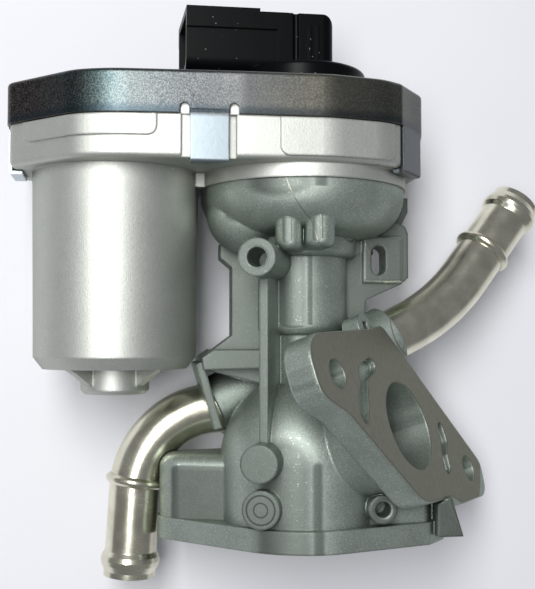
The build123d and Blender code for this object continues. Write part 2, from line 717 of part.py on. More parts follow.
def actuator_housing():
    tray = slab(mirrored_outline(cover_half, cover_radii, 0.8), TRAY_Z, SKIRT_Z - 0.2)
    tray = fillet(tray.edges().group_by(Axis.Z)[0], 1.6)
    tray += slab(mirrored_outline(cover_half, cover_radii, SHEET + EASY), SKIRT_Z - 0.4, RIM_Z)
    # tab pockets in the side wall
    pocket_middle = (TRAY_Z + SKIRT_Z) / 2 - 0.6
    pocket_height = SKIRT_Z - TRAY_Z + 0.8
    for plane, width in [(facet_plane(-1), 15.2), (facet_plane(1), 15.2), (end_plane, 15.4)]:
        tray -= plane * (Pos(0, pocket_middle, 2 - SHEET - EASY) * Box(width, pocket_height, 4))
    for side in (-1, 1):
        y0, y1 = sorted((side * 32.2, side * 36))
        x0, x1 = tab_x - tab_width / 2 - 2.4, tab_x + tab_width / 2 + 2.2
        tray -= block(x0, x1, y0, y1, TRAY_Z - 1, SKIRT_Z - 0.2)
        tray += side_panel(side, -11.8, 22.0, TRAY_Z + 1.2)
        tray += side_panel(side, -83.0, -45.8, TRAY_Z + 6.1)
    can = turned(can_profile(), MOTOR_X, 0)
    ring = drum(RING_R, JOINT_Z, TRAY_Z + 1)
    web = block(MOTOR_X + 20, -27, -8, 8, JOINT_Z, TRAY_Z + 1)
    housing = tray + can + ring + web
    # motor end: hub and four gussets
    hub = drum(10.2, 44.0, CAN_BOTTOM + 1, MOTOR_X, 0)
    hub = chamfer(hub.edges().group_by(Axis.Z)[0], 1.2)
    housing += hub
    for turn in (45, 135, 225, 315):
        gusset = upright([(9.0, CAN_BOTTOM + 0.5), (20.0, CAN_BOTTOM + 0.5), (16.5, 50.4),
                          (10.6, 46.6), (9.0, 46.6)], -1.3, 1.3)
        housing += Pos(MOTOR_X, 0, 0) * Rot(0, 0, turn) * gusset
    # hollows
    cavity = slab(mirrored_outline(cover_half, cover_radii, WALL + 0.8), FLOOR_Z, RIM_Z + 1)
    housing -= cavity
    housing -= drum(MOTOR_BORE_R, 55.7, FLOOR_Z + 1, MOTOR_X, 0)
    housing -= drum(6.0, 47.5, 56, MOTOR_X, 0)
    for side in (-1, 1):
        housing -= drum(1.65, TRAY_Z + 0.5, FLOOR_Z + 1, MOTOR_X, side * EAR_Y)
    housing -= drum(2.5, 107.0, 115, IDLER_X, 0)
    housing -= drum(SLEEVE_R + 2.0, TRAY_Z - 0.6, FLOOR_Z + 1)
    housing -= drum(19.0, JOINT_Z - 1, TRAY_Z - 0.6)
    for angle in joint_screw_angles:
        x, y = on_circle(JOINT_PCR, angle)
        housing -= drum(2.25, JOINT_Z - 1, FLOOR_Z + 1, x, y)
        housing -= drum(3.8, 110.0, FLOOR_Z + 1, x, y)
    x, y = on_circle(JOINT_PCR, dowel_angle)
    housing -= drum(2.0, JOINT_Z - 1, 111.2, x, y)
    return housing


def joint_screws():
    screws = []
    for angle in joint_screw_angles:
        x, y = on_circle(JOINT_PCR, angle)
        screw = drum(2.0, 93.5, 110.0, x, y) + drum(3.5, 110.0, 113.2, x, y)
        screw -= Pos(x, y, 111.6) * extrude(RegularPolygon(1.7, 6), 3)
        screws.append(screw.solid())
    return Compound(screws)


def joint_dowel():
    x, y = on_circle(JOINT_PCR, dowel_angle)
    return chamfer(drum(2.0, 99.2, 111.0, x, y).edges().group_by(Axis.Z)[-1], 0.4)


def body_seal():
    ring = tube(30.25, 28.75, JOINT_Z - 1.05, JOINT_Z)
    return ring


def cover_gasket():
    outer = mirrored_outline(cover_half, cover_radii, SHEET + EASY + 0.1)
    inner = mirrored_outline(cover_half, cover_radii, WALL + 0.7)
    return slab(outer, RIM_Z, COVER_Z - SHEET) - slab(inner, RIM_Z - 1, COVER_Z)


def edge_tab(width, drop_to, lip):
    """Tab hanging in the plane's XZ sense: flat strip, bend and inward lip; local Y is up."""
    strip = Pos(0, (SKIRT_Z + 1 + drop_to) / 2, -SHEET / 2) * Box(width, SKIRT_Z + 1 - drop_to, SHEET)
    foot = Pos(0, drop_to - SHEET / 2, -lip / 2) * Box(width, SHEET, lip)
    tab = strip + foot
    return fillet(tab.edges().filter_by(Axis.X).group_by(Axis.Z)[-1].group_by(Axis.Y)[0], SHEET * 0.9)


CAP_R = 19.7
SPIGOT_R = 16.9


def steel_cover():
    outer = slab(mirrored_outline(cover_half, cover_radii), SKIRT_Z, COVER_Z)
    outer = fillet(outer.edges().group_by(Axis.Z)[-1], 1.3)
    cover = outer - slab(mirrored_outline(cover_half, cover_radii, SHEET), SKIRT_Z - 1, COVER_Z - SHEET)
    foot = TRAY_Z - 0.25
    for side in (-1, 1):
        plane = Plane(origin=(tab_x, side * 34.25, 0), x_dir=(-side, 0, 0), z_dir=(0, side, 0))
        cover += plane * edge_tab(tab_width, foot, 3.6)
        for x in (tab_x - tab_width / 2 - 1.5, tab_x + tab_width / 2 + 1.5):
            cover -= Pos(x, side * 34.0, SKIRT_Z + 1.6) * (Rot(90, 0, 0) * Cylinder(1.25, 6))
            cover -= block(x - 1.25, x + 1.25, side * 34 - 3, side * 34 + 3, SKIRT_Z - 1, SKIRT_Z + 1.6)
        cover += facet_plane(side) * edge_tab(13.6, foot, 3.4)
    cover += end_plane * edge_tab(13.0, foot, 4.0)
    cover -= drum(SPIGOT_R + EASY, COVER_Z - 3, COVER_Z + 1)
    return cover


# ---- connector and sensor ------------------------------------------------------------------
CAP_TOP = 142.3
PLUG_TOP = 159.2
PLUG_HALF = 12.0
HOOD_HALF = 11.2
MOUTH_X = -36.6
MOUTH_TURN = 2.9
LEDGE_X = -9.3              # step round the plug hood
LEDGE_Z = 153.0
pin_pitch = 3.8


def pin_path(y, grow=0.0):
    a = 0.4 + grow
    leg = block(-8 - a, -8 + a, y - a, y + a, 133.9 - grow, 150.4)
    arm = block(-31 - grow, -8 + a, y - a, y + a, 150 - a, 150 + a)
    return leg + arm


def plug_hood():
    """Hood set back below the ledge, with rounded lower corners."""
    hood = block(-40, LEDGE_X + 1, -HOOD_HALF, HOOD_HALF, 139.5, LEDGE_Z + 1)
    return fillet(hood.edges().filter_by(Axis.X).group_by(Axis.Z)[0], 5.5)


def plug_socket():
    socket = block(-45, -17.5, -HOOD_HALF + 1.3, HOOD_HALF - 1.3, 142.0, PLUG_TOP - 2.0)
    return fillet(socket.edges().filter_by(Axis.X).group_by(Axis.Z)[0], 3.5)


def connector_housing():
    cap = drum(CAP_R, COVER_Z, CAP_TOP)
    cap = fillet(cap.edges().group_by(Axis.Z)[-1], 1.4)
    tower = upright([(-40, LEDGE_Z), (-40, PLUG_TOP), (-14.6, PLUG_TOP), (-14.6, PLUG_TOP - 1),
                     (8, PLUG_TOP - 1), (8, 139.5), (LEDGE_X, 139.5), (LEDGE_X, LEDGE_Z)],
                    -PLUG_HALF, PLUG_HALF)
    back = tower.edges().filter_by(Axis.Z).group_by(Axis.X)[-1]
    crown = tower.edges().filter_by(Axis.Y).group_by(Axis.X)[-1].sort_by(Axis.Z)[-1:]
    tower = fillet(back + crown, 3.6)
    for side in (-1, 1):
        tower -= Pos(-3.8, side * PLUG_HALF, 150) * Cylinder(0.9, 30)
    body = cap + tower + plug_hood()
    # mouth cut a little askew
    body -= Pos(MOUTH_X, -PLUG_HALF, 149) * Rot(0, 0, MOUTH_TURN) * Pos(-5, 0, 0) * Box(10, 70, 30)
    # latch bump and ridges
    body += block(-13.4, -4.8, -5.5, 5.5, PLUG_TOP - 3, PLUG_TOP + 1.3)
    for x in (0.4, 2.8):
        body += block(x - 0.5, x + 0.5, -PLUG_HALF - 0.5, PLUG_HALF + 0.5, 141.0, 154.5)
    # socket for the plug, spigot with the pocket for the board
    body -= plug_socket()
    body += tube(SPIGOT_R, 14.6, 131.0, COVER_Z + 0.2)
    body -= tube(SPIGOT_R + 1, SPIGOT_R - 1.2, 131.9, 133.0)
    body -= drum(14.6, 130, 133.9)
    body -= drum(13.0, 133, CAP_TOP - 2.0)
    body -= tube(18.9, 17.2, COVER_Z - 0.2, COVER_Z + 1.45)
    for i in range(-2, 3):
        body -= pin_path(i * pin_pitch, 0.0)
    return body


def connector_pins():
    return Compound([pin_path(i * pin_pitch).solid() for i in range(-2, 3)])


def cap_seal():
    return tube(18.8, 17.3, COVER_Z + 0.02, COVER_Z + 1.43)


def cap_retainer():
    ring = tube(18.4, SPIGOT_R - 1.15, 131.95, 132.95)
    return ring - block(10, 22, -2.5, 2.5, 130, 134)


def sensor_board():
    return drum(14.4, 132.3, 133.85)


def sensor_chip():
    return block(-3.2, 3.2, -2.6, 2.6, 130.7, 132.3)


# ---- coolant pipes -------------------------------------------------------------------------
def hose_pipe(points, bend, bead_at):
    """Drawn pipe: straight, bend, straight, with a stop bead and a rolled hose end."""
    run = (Vector(*points[2]) - Vector(*points[1])).normalized()
    end = Vector(*points[2])
    tail = Plane(origin=end - run * 12, z_dir=run)
    nose = tail * revolve(Plane.XZ * make_face(Polyline(
        (0, 12), (PIPE_R - 0.9, 12), (PIPE_R - 0.1, 10.6), (PIPE_R + 0.9, 8.4), (PIPE_R + 1.2, 7.0),
        (PIPE_R + 0.9, 5.6), (PIPE_R, 4.2), (PIPE_R, 0), (0, 0), close=True)), Axis.Z)
    path = FilletPolyline(*points, radius=bend)
    bead_place = path.length - bead_at
    bead = Plane(origin=path.position_at(bead_place, position_mode=PositionMode.LENGTH),
                 z_dir=path.tangent_at(bead_place, position_mode=PositionMode.LENGTH))
    bead *= revolve(Plane.XZ * make_face(Polyline(
        (0, -1.5), (PIPE_R + 0.4, -1.5), (BEAD_R - 0.2, -0.7), (BEAD_R, 0), (BEAD_R - 0.2, 0.7),
        (PIPE_R + 0.4, 1.5), (0, 1.5), close=True)), Axis.Z)
    pipe = bent_rod(points, bend, PIPE_R) + nose + bead
    return pipe - bent_rod(points, bend, PIPE_R - PIPE_WALL)


def coolant_inlet_pipe():
    return hose_pipe(left_line, LEFT_BEND, 29.4)


def coolant_outlet_pipe():
    return hose_pipe(right_line, RIGHT_BEND, 22.0)


nodes = {
    "valve_body": valve_body,
    "valve_seat": valve_seat,
    "valve_head": valve_head,
    "valve_stem": stem_with_pin_hole,
    "crosshead": crosshead,
    "cross_pin": cross_pin,
    "guide_sleeve": guide_sleeve,
    "thrust_washer": thrust_washer,
    "stem_bushing": stem_bushing,
    "stem_seal": stem_seal,
    "seal_cap": seal_cap,
    "output_gear": output_gear,
    "sensor_magnet": sensor_magnet,
    "idler_gear": idler_gear,
    "idler_pin": idler_pin,
    "idler_clip": idler_clip,
    "motor_pinion": motor_pinion,
    "gear_bearing": gear_bearing,
    "return_spring": return_spring,
    "motor_shell": motor_shell,
    "motor_magnets": motor_magnets,
    "armature_core": armature_core,
    "armature_windings": armature_windings,
    "commutator": commutator,
    "motor_shaft": motor_shaft,
    "rear_bushing": rear_bushing,
    "front_bushing": front_bushing,
    "motor_plate": motor_plate,
    "brush_card": brush_card,
    "brushes": brushes,
    "brush_springs": brush_springs,
    "motor_screws": motor_screws,
    "actuator_housing": actuator_housing,
    "joint_screws": joint_screws,
    "joint_dowel": joint_dowel,
    "body_seal": body_seal,
    "cover_gasket": cover_gasket,
    "steel_cover": steel_cover,
    "connector_housing": connector_housing,
    "connector_pins": connector_pins,
    "cap_seal": cap_seal,
    "cap_retainer": cap_retainer,
    "sensor_board": sensor_board,
    "sensor_chip": sensor_chip,
    "coolant_inlet_pipe": coolant_inlet_pipe,
    "coolant_outlet_pipe": coolant_outlet_pipe,
}

if __name__ == "__main__":
    os.makedirs("parts", exist_ok=True)
    for name, make in nodes.items():
        export_step(make(), f"parts/{name}.step")
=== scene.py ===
"""EGR valve: finishes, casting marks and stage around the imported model, laid out as an add-on."""

import json
import math

import bmesh
import bpy
from bpy.props import FloatProperty, FloatVectorProperty, PointerProperty
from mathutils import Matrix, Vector


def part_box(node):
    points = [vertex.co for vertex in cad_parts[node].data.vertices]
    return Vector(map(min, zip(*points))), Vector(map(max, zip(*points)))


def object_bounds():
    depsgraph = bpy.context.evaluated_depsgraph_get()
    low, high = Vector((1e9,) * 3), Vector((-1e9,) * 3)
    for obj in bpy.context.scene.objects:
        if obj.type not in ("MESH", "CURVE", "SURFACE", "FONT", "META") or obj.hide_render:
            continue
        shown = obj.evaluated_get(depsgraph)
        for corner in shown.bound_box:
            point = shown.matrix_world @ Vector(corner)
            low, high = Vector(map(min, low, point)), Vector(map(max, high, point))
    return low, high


bl_info = {
    "name": "EGR valve finishes",
    "version": (1, 0, 0),
    "blender": (4, 5, 0),
    "location": "View3D > Sidebar > EGR valve",
    "description": "Finishes, casting marks and stage for the EGR valve assembly",
    "category": "Object",
}

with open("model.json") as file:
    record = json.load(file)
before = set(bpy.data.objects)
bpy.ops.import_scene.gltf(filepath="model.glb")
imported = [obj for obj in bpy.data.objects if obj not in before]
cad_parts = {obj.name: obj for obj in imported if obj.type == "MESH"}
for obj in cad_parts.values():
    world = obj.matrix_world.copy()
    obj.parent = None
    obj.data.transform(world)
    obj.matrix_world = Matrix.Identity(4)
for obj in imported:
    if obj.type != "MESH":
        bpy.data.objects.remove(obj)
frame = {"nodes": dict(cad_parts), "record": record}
CAD_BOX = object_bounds()
CAD_MIDDLE = (Vector(CAD_BOX[0]) + Vector(CAD_BOX[1])) / 2
NODES = frame["nodes"]
MOUNTS = {mount["name"]: mount for mount in frame["record"]["mounts"]}
MM = 0.001

# face of the lower disc: out along the casting's pull direction, sideways, and up
DISC_OUT = 27.9 * MM
DISC_SIDE = -6.5 * MM
DISC_RISE = 12.3 * MM
# rings engraved on it, drawn only as painted shade in the cut: radius, and the half widths at which
# the cut starts and is full
DISC_RINGS = ((4.1 * MM, 0.35 * MM, 0.15 * MM), (2.0 * MM, 0.30 * MM, 0.12 * MM))

# mounts whose faces are milled, how far a face reaches from its mount, and the cut's thickness
MILLED_MOUNTS = ("outlet_face", "base_face")
MILLED_REACH = 60 * MM
MILLED_DEPTH = 0.12 * MM

CAST_TINT = (0.4, 0.42, 0.4, 1)
FRONT = (0, -1, 0)

# stage: places in metres, the camera's tilt up from straight down and its turn about Z in degrees
CAMERA_PLACE = (-52.24 * MM, -295.10 * MM, 60.0 * MM)
CAMERA_TILT = 92.69
CAMERA_TURN = -8.0
KEY_PLACE = (-0.20, -0.66, 0.22)
KEY_SIZE = (0.22, 0.60)
SKY = (0.92, 0.94, 1.0, 1)


# ---- shader arithmetic ---------------------------------------------------------------------
class Wire:
    """A socket of a shader tree. Operators on numbers add Math nodes to the tree."""

    def __init__(self, finish, socket):
        self.finish = finish
        self.socket = socket

    def math(self, operation, *values):
        return self.finish.node("ShaderNodeMath", {"operation": operation}, dict(enumerate(values)))

    def __add__(self, other):
        return self.math("ADD", self, other)

    def __sub__(self, other):
        return self.math("SUBTRACT", self, other)

    def __rsub__(self, other):
        return self.math("SUBTRACT", other, self)

    def __mul__(self, other):
        return self.math("MULTIPLY", self, other)

    def __truediv__(self, other):
        return self.math("DIVIDE", self, other)

    def __gt__(self, other):
        return self.math("GREATER_THAN", self, other)

    def __lt__(self, other):
        return self.math("LESS_THAN", self, other)

    def __abs__(self):
        return self.math("ABSOLUTE", self)

    def either(self, other):
        return self.math("MAXIMUM", self, other)

    __radd__ = __add__
    __rmul__ = __mul__


class Finish:
    """One material: a Principled surface, and the nodes that vary it over a piece."""

    def __init__(self, name, **fixed):
        self.material = bpy.data.materials.new(name)
        self.material.use_nodes = True
        self.tree = self.material.node_tree
        self.surface = self.tree.nodes["Principled BSDF"]
        for socket, value in fixed.items():
            self.surface.inputs[socket.replace("_", " ")].default_value = value

    def node(self, kind, settings=None, inputs=None, output=0):
        """Adds a node, sets it, fills its sockets with values or wires, and gives one output."""
        made = self.tree.nodes.new(kind)
        for key, value in (settings or {}).items():
            if key == "stops":
                set_stops(made.color_ramp, value)
            else:
                setattr(made, key, value)
        for key, value in (inputs or {}).items():
            self.fill(made.inputs[key], value)
        return Wire(self, made.outputs[output])

    def fill(self, socket, value):
        if isinstance(value, Wire):
            self.tree.links.new(value.socket, socket)
        else:
            socket.default_value = value

    def drive(self, **varying):
        """Feeds what varies over the piece to the surface."""
        for socket, value in varying.items():
            self.fill(self.surface.inputs[socket.replace("_", " ")], value)

    def vector(self, operation, first, second, output="Vector"):
        """Vector arithmetic on two wires or triples."""
        return self.node("ShaderNodeVectorMath", {"operation": operation},
                         {0: first, 1: second}, output)

    def place(self):
        """The point on the piece, in the frame's metres."""
        return self.node("ShaderNodeTexCoord", output="Object")

    def face(self):
        """The surface's own normal, with no bump or bevel."""
        return self.node("ShaderNodeNewGeometry", output="Normal")

    def along(self, direction, origin):
        """Distance in metres along a direction from an origin."""
        offset = self.vector("SUBTRACT", self.place(), tuple(origin))
        return self.vector("DOT_PRODUCT", offset, tuple(direction), "Value")

    def reach(self, origin):
        """Distance in metres from a point."""
        return self.vector("DISTANCE", self.place(), tuple(origin), "Value")

    def noise(self, size, detail=2.0, stretch=(1, 1, 1)):
        """Soft noise from 0 to 1 with features of about the given size in metres."""
        where = self.vector("MULTIPLY", self.place(), stretch)
        return self.node("ShaderNodeTexNoise", {},
                         {"Vector": where, "Scale": 1 / size, "Detail": detail})

    def flecks(self, size, share):
        """1 on a random share of small cells, and 0 elsewhere."""
        cells = self.node("ShaderNodeTexVoronoi", {},
                          {"Vector": self.place(), "Scale": 1 / size}, output="Color")
        level = self.node("ShaderNodeSeparateColor", {}, {0: cells})
        return level > 1 - share

    def fade(self, value, low, high):
        """0 at low and 1 at high, with a smooth step between."""
        return self.node("ShaderNodeMapRange", {"interpolation_type": "SMOOTHSTEP"},
                         {"Value": value, "From Min": low, "From Max": high})

    def blend(self, mask, base, top):
        """The base colour where the mask is 0, and the top colour where it is 1."""
        return self.node("ShaderNodeMix", {"data_type": "RGBA"},
                         {"Factor": mask, 6: rgba(base), 7: rgba(top)}, output=2)

    def ramp(self, value, stops):
        """Colour along a list of (place, colour) stops."""
        return self.node("ShaderNodeValToRGB", {"stops": stops}, {0: value})

    def soft_normal(self, radius):
        """The normal with edges rounded off to a radius in metres."""
        return self.node("ShaderNodeBevel", {"samples": 4}, {"Radius": radius})

    def edges(self, soft):
        """0 on plain surfaces, rising to 1 where the softened normal turns away at an edge."""
        same = self.vector("DOT_PRODUCT", soft, self.face(), "Value")
        return self.fade(1 - same, 0.01, 0.25)

    def corners(self, distance):
        """0 on open surfaces, rising to 1 in corners and hollows about as deep as the distance."""
        openness = self.node("ShaderNodeAmbientOcclusion", {"samples": 6}, {"Distance": distance},
                             output="AO")
        return self.fade(openness, 0.75, 0.2)

    def facing(self, direction, low, high):
        """1 on faces square to a direction, from the cosines at which it starts and is full."""
        turned = self.vector("DOT_PRODUCT", self.face(), tuple(direction), "Value")
        return self.fade(turned, low, high)

    def bump(self, height, depth, normal=None):
        """A normal from a height of 0 to 1 over a depth in metres, on top of another normal."""
        inputs = {"Height": height, "Distance": depth, "Strength": 1.0}
        if normal is not None:
            inputs["Normal"] = normal
        return self.node("ShaderNodeBump", {}, inputs)


def rgba(colour):
    """A colour with its alpha, or the wire as it is."""
    if isinstance(colour, Wire):
        return colour
    return (*colour[:3], 1.0)


def set_stops(band, stops):
    """Puts (place, colour) stops on a colour ramp."""
    while len(band.elements) < len(stops):
        band.elements.new(0.5)
    for element, (place, colour) in zip(band.elements, stops):
        element.position = place
        element.color = rgba(colour)


def linear(level):
    """A linear value from a display level of 0 to 255."""
    share = level / 255
    return share / 12.92 if share <= 0.04045 else ((share + 0.055) / 1.055) ** 2.4


def shade(red, green, blue):
    """A linear colour from display levels of 0 to 255."""
    return (linear(red), linear(green), linear(blue))


def scaled(colour, factor):
    """The colour made darker or lighter, kept below white."""
    return tuple(min(channel * factor, 0.98) for channel in colour)


def dress(finish, *names):
    """Gives a finish to nodes, in every slot that they have."""
    for name in names:
        mesh = NODES[name].data
        if mesh.materials:
            for slot in NODES[name].material_slots:
                slot.material = finish.material
        else:
            mesh.materials.append(finish.material)


# ---- settings ------------------------------------------------------------------------------
class EGR_CastingSettings(bpy.types.PropertyGroup):
    """Look of the two die castings."""
    housing_alloy: FloatVectorProperty(
        name="Housing alloy", description="Colour of the actuator housing casting",
        subtype="COLOR", min=0, max=1, default=shade(206, 209, 202))
    body_alloy: FloatVectorProperty(
        name="Body alloy", description="Colour of the valve body casting",
        subtype="COLOR", min=0, max=1, default=shade(176, 186, 177))
    machined_alloy: FloatVectorProperty(
        name="Machined alloy", description="Colour of the milled faces",
        subtype="COLOR", min=0, max=1, default=shade(152, 152, 139))
    grain: FloatProperty(
        name="Grain", description="Size of the cast skin's grain",
        unit="LENGTH", min=0.0001, max=0.005, precision=5, default=0.3 * MM)
    edge_radius: FloatProperty(
        name="Edge radius", description="Radius to which cast edges look rounded",
        unit="LENGTH", min=0.0, max=0.005, precision=5, default=0.8 * MM)


class EGR_CoverSettings(bpy.types.PropertyGroup):
    """Look of the passivated steel cover."""
    # thick film and painted shade at the turned ends
    end_film_and_shade: FloatVectorProperty(
        name="Thick film", description="Colour of the passivation at the turned ends",
        subtype="COLOR", min=0, max=1, default=shade(38, 27, 28))
    film_light: FloatVectorProperty(
        name="Thin film", description="Colour of the passivation along the front",
        subtype="COLOR", min=0, max=1, default=shade(66, 70, 74))
    tab_film: FloatVectorProperty(
        name="Tab film", description="Colour of the passivation on the bent tabs",
        subtype="COLOR", min=0, max=1, default=shade(170, 182, 188))
    skirt_foot: FloatProperty(
        name="Skirt foot", description="Height of the skirt's lower edge above the base",
        unit="LENGTH", min=0.0, max=1.0, precision=5, default=121.9 * MM)
    roughness: FloatProperty(
        name="Roughness", description="Roughness of the rolled sheet",
        min=0, max=1, default=0.34)


class EGR_TrimSettings(bpy.types.PropertyGroup):
    """Look of the pipes, the plastic and the seals."""
    plastic: FloatVectorProperty(
        name="Connector plastic", description="Colour of the glass-filled connector moulding",
        subtype="COLOR", min=0, max=1, default=shade(7, 10, 11))
    plating: FloatVectorProperty(
        name="Pipe plating", description="Colour of the nickel on the coolant pipes",
        subtype="COLOR", min=0, max=1, default=shade(234, 231, 210))
    rubber: FloatVectorProperty(
        name="Seal rubber", description="Colour of the seals",
        subtype="COLOR", min=0, max=1, default=shade(30, 30, 31))


class EGR_StageSettings(bpy.types.PropertyGroup):
    """Table, lamp and camera."""
    table_gap: FloatProperty(
        name="Table gap", description="Room between the back of the valve and the table",
        unit="LENGTH", min=0.0, max=0.1, default=1.0 * MM)
    table_span: FloatProperty(
        name="Table span", description="Length of the table's sides",
        unit="LENGTH", min=0.1, max=5.0, default=1.6)
    lens: FloatProperty(
        name="Lens", description="Focal length on a 36 mm wide sensor, in millimetres",
        min=10, max=300, default=59.22)
    key_power: FloatProperty(
        name="Key panel", description="Power of the large panel lamp",
        unit="POWER", min=0, max=100, default=5.0)
    room_light: FloatProperty(
        name="Room light", description="Strength of the even light from the room",
        min=0, max=2, default=0.22)


# ---- castings ------------------------------------------------------------------------------
def cast_skin(finish, settings, alloy, contrast, sparkle, roughness):
    """Grainy die-cast skin: mottled tone, bright flecks, edges lightened partly by wear and partly as
    a painted highlight, painted shade in corners and hollows, and a fine bump.
    """
    grain = finish.noise(settings.grain, detail=3)
    mottle = finish.noise(7 * MM, detail=5)
    soft = finish.soft_normal(settings.edge_radius)
    worn_and_highlit_edges = finish.edges(soft)
    bright = finish.flecks(0.3 * MM, sparkle)
    tone = finish.fade(grain * 0.75 + mottle * 0.25, 0.3, 0.7)
    colour = finish.blend(tone, scaled(alloy, 1 - contrast), scaled(alloy, 1 + contrast))
    # painted shade: corners and hollows found by ambient occlusion are darkened
    colour = finish.blend(finish.corners(5 * MM) * 0.7, colour, scaled(alloy, 0.25))
    # edges lightened: partly wear, partly a painted highlight on the rounded edges
    colour = finish.blend(worn_and_highlit_edges * 0.3, colour, scaled(alloy, 1.5))
    colour = finish.blend(bright * 0.45, colour, shade(240, 240, 240))
    rough = roughness + (grain - 0.5) * 0.2 - bright * 0.12 - worn_and_highlit_edges * 0.06
    normal = finish.bump(grain * 0.7 + finish.noise(1.2 * MM) * 0.4, 0.05 * MM, soft)
    return colour, rough, normal


def milled_faces(finish):
    """1 on the milled faces of the valve body, and 0 elsewhere."""
    mask = 0.0
    for name in MILLED_MOUNTS:
        mount = MOUNTS[name]
        level = abs(finish.along(mount["axis"], mount["pos_m"])) < MILLED_DEPTH
        near = finish.reach(mount["pos_m"]) < MILLED_REACH
        mask = (level * near).either(mask)
    return mask


def disc_rings(finish):
    """1 in the rings engraved on the valve body's lower disc, and 0 elsewhere."""
    out = Vector(MOUNTS["support_boss"]["axis"])
    centre = out * DISC_OUT + Vector((-out.y, out.x, 0)) * DISC_SIDE + Vector((0, 0, DISC_RISE))
    near = finish.reach(centre)
    mask = 0.0
    for radius, start, full in DISC_RINGS:
        mask = finish.fade(abs(near - radius), start, full).either(mask)
    return mask


class EGR_OT_castings(bpy.types.Operator):
    """Finish the valve body and the actuator housing as die castings"""
    bl_idname = "egr.castings"
    bl_label = "Castings"

    def execute(self, context):
        settings = context.scene.egr_castings
        self.finish_housing(settings)
        self.finish_body(settings)
        return {"FINISHED"}

    def finish_housing(self, settings):
        finish = Finish("housing_cast_alloy", Metallic=0.9, Specular_Tint=CAST_TINT)
        colour, rough, normal = cast_skin(finish, settings, settings.housing_alloy, 0.08, 0.012, 0.52)
        finish.drive(Base_Color=colour, Roughness=rough, Normal=normal)
        dress(finish, "actuator_housing")

    def finish_body(self, settings):
        finish = Finish("body_cast_alloy", Metallic=0.9, Specular_Tint=CAST_TINT)
        alloy = settings.body_alloy
        colour, rough, normal = cast_skin(finish, settings, alloy, 0.24, 0.03, 0.5)
        # painted shade: faces square to the pull direction are darkened where they would mirror the
        # lamp
        painted_shade_pull_faces = finish.facing(MOUNTS["support_boss"]["axis"], 0.93, 0.98)
        colour = finish.blend(painted_shade_pull_faces * 0.8, colour, scaled(alloy, 0.22))
        # painted shade: faces square to the front are darkened
        front = finish.facing(FRONT, 0.997, 0.9999)
        colour = finish.blend(front * 0.75, colour, scaled(alloy, 0.2))
        # painted shade: the engraved rings are drawn as dark lines, with no relief
        colour = finish.blend(disc_rings(finish) * 0.7, colour, scaled(alloy, 0.06))
        milled = milled_faces(finish)
        lines = finish.noise(0.5 * MM, detail=2, stretch=(1, 0.15, 0.3))
        cut_colour = finish.blend(lines, scaled(settings.machined_alloy, 0.7), settings.machined_alloy)
        finish.drive(Base_Color=finish.blend(milled, colour, cut_colour),
                     Roughness=rough - milled * 0.1, Normal=normal)
        dress(finish, "valve_body")


# ---- cover ---------------------------------------------------------------------------------
class EGR_OT_cover(bpy.types.Operator):
    """Finish the pressed cover with its rainbow passivation"""
    bl_idname = "egr.cover"
    bl_label = "Steel cover"

    def execute(self, context):
        settings = context.scene.egr_cover
        finish = Finish("cover_passivated_steel", Metallic=1.0)
        low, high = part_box("steel_cover")
        across = finish.along((1, 0, 0), (low.x, 0, 0)) / (high.x - low.x)
        drift = (finish.noise(14 * MM, detail=3) - 0.5) * 0.16
        # the ramp is partly the passivation's own colours and partly painted shade: it darkens towards
        # both turned ends
        film = finish.ramp(across + drift, [
            (0.03, settings.end_film_and_shade), (0.10, shade(48, 45, 45)), (0.19, shade(54, 74, 76)),
            (0.28, shade(70, 78, 80)), (0.42, settings.film_light), (0.55, shade(98, 101, 101)),
            (0.68, shade(118, 116, 106)), (0.86, shade(90, 92, 82)), (0.97, shade(46, 48, 44))])
        speckle = finish.noise(0.4 * MM, detail=2)
        colour = finish.blend(finish.fade(speckle, 0.35, 0.7) * 0.2, film, shade(186, 186, 180))
        height = finish.along((0, 0, 1), (0, 0, settings.skirt_foot))
        # darker and bluer towards the skirt's foot
        foot_band = finish.fade(height, 3.2 * MM, 0.6 * MM) * (height > 0)
        colour = finish.blend(foot_band * 0.6, colour, shade(40, 56, 66))
        # only the bent tabs reach below the skirt's foot, and the right end's tabs are darkened as
        # painted shade
        shaded_right_end = across > 0.9
        tab = finish.blend(shaded_right_end, settings.tab_film, scaled(settings.tab_film, 0.22))
        colour = finish.blend(finish.fade(height, 0.2 * MM, -1.4 * MM), colour, tab)
        soft = finish.soft_normal(0.5 * MM)
        colour = finish.blend(finish.edges(soft) * 0.4, colour, shade(176, 168, 152))
        normal = finish.bump(speckle, 0.012 * MM, soft)
        finish.drive(Base_Color=colour, Roughness=settings.roughness + (speckle - 0.5) * 0.15,
                     Normal=normal)
        dress(finish, "steel_cover")
        return {"FINISHED"}


# ---- connector and pipes --------------------------------------------------------------------
class EGR_OT_connector(bpy.types.Operator):
    """Finish the connector moulding and its pins"""
    bl_idname = "egr.connector"
    bl_label = "Connector"

    def execute(self, context):
        settings = context.scene.egr_trim
        moulding = Finish("connector_moulded_plastic", Specular_IOR_Level=0.1)
        texture = moulding.noise(0.35 * MM, detail=3)
        dust = moulding.flecks(0.3 * MM, 0.002)
        soft = moulding.soft_normal(0.4 * MM)
        colour = moulding.blend(moulding.noise(6 * MM, detail=3),
                                scaled(settings.plastic, 0.6), settings.plastic)
        colour = moulding.blend(dust * 0.6, colour, shade(150, 150, 150))
        moulding.drive(Base_Color=colour, Roughness=0.34 + (texture - 0.5) * 0.2,
                       Normal=moulding.bump(texture, 0.015 * MM, soft))
        dress(moulding, "connector_housing")
        pins = plain_metal("tinned_pins", shade(206, 204, 198), 0.25, 1.2 * MM)
        dress(pins, "connector_pins")
        return {"FINISHED"}


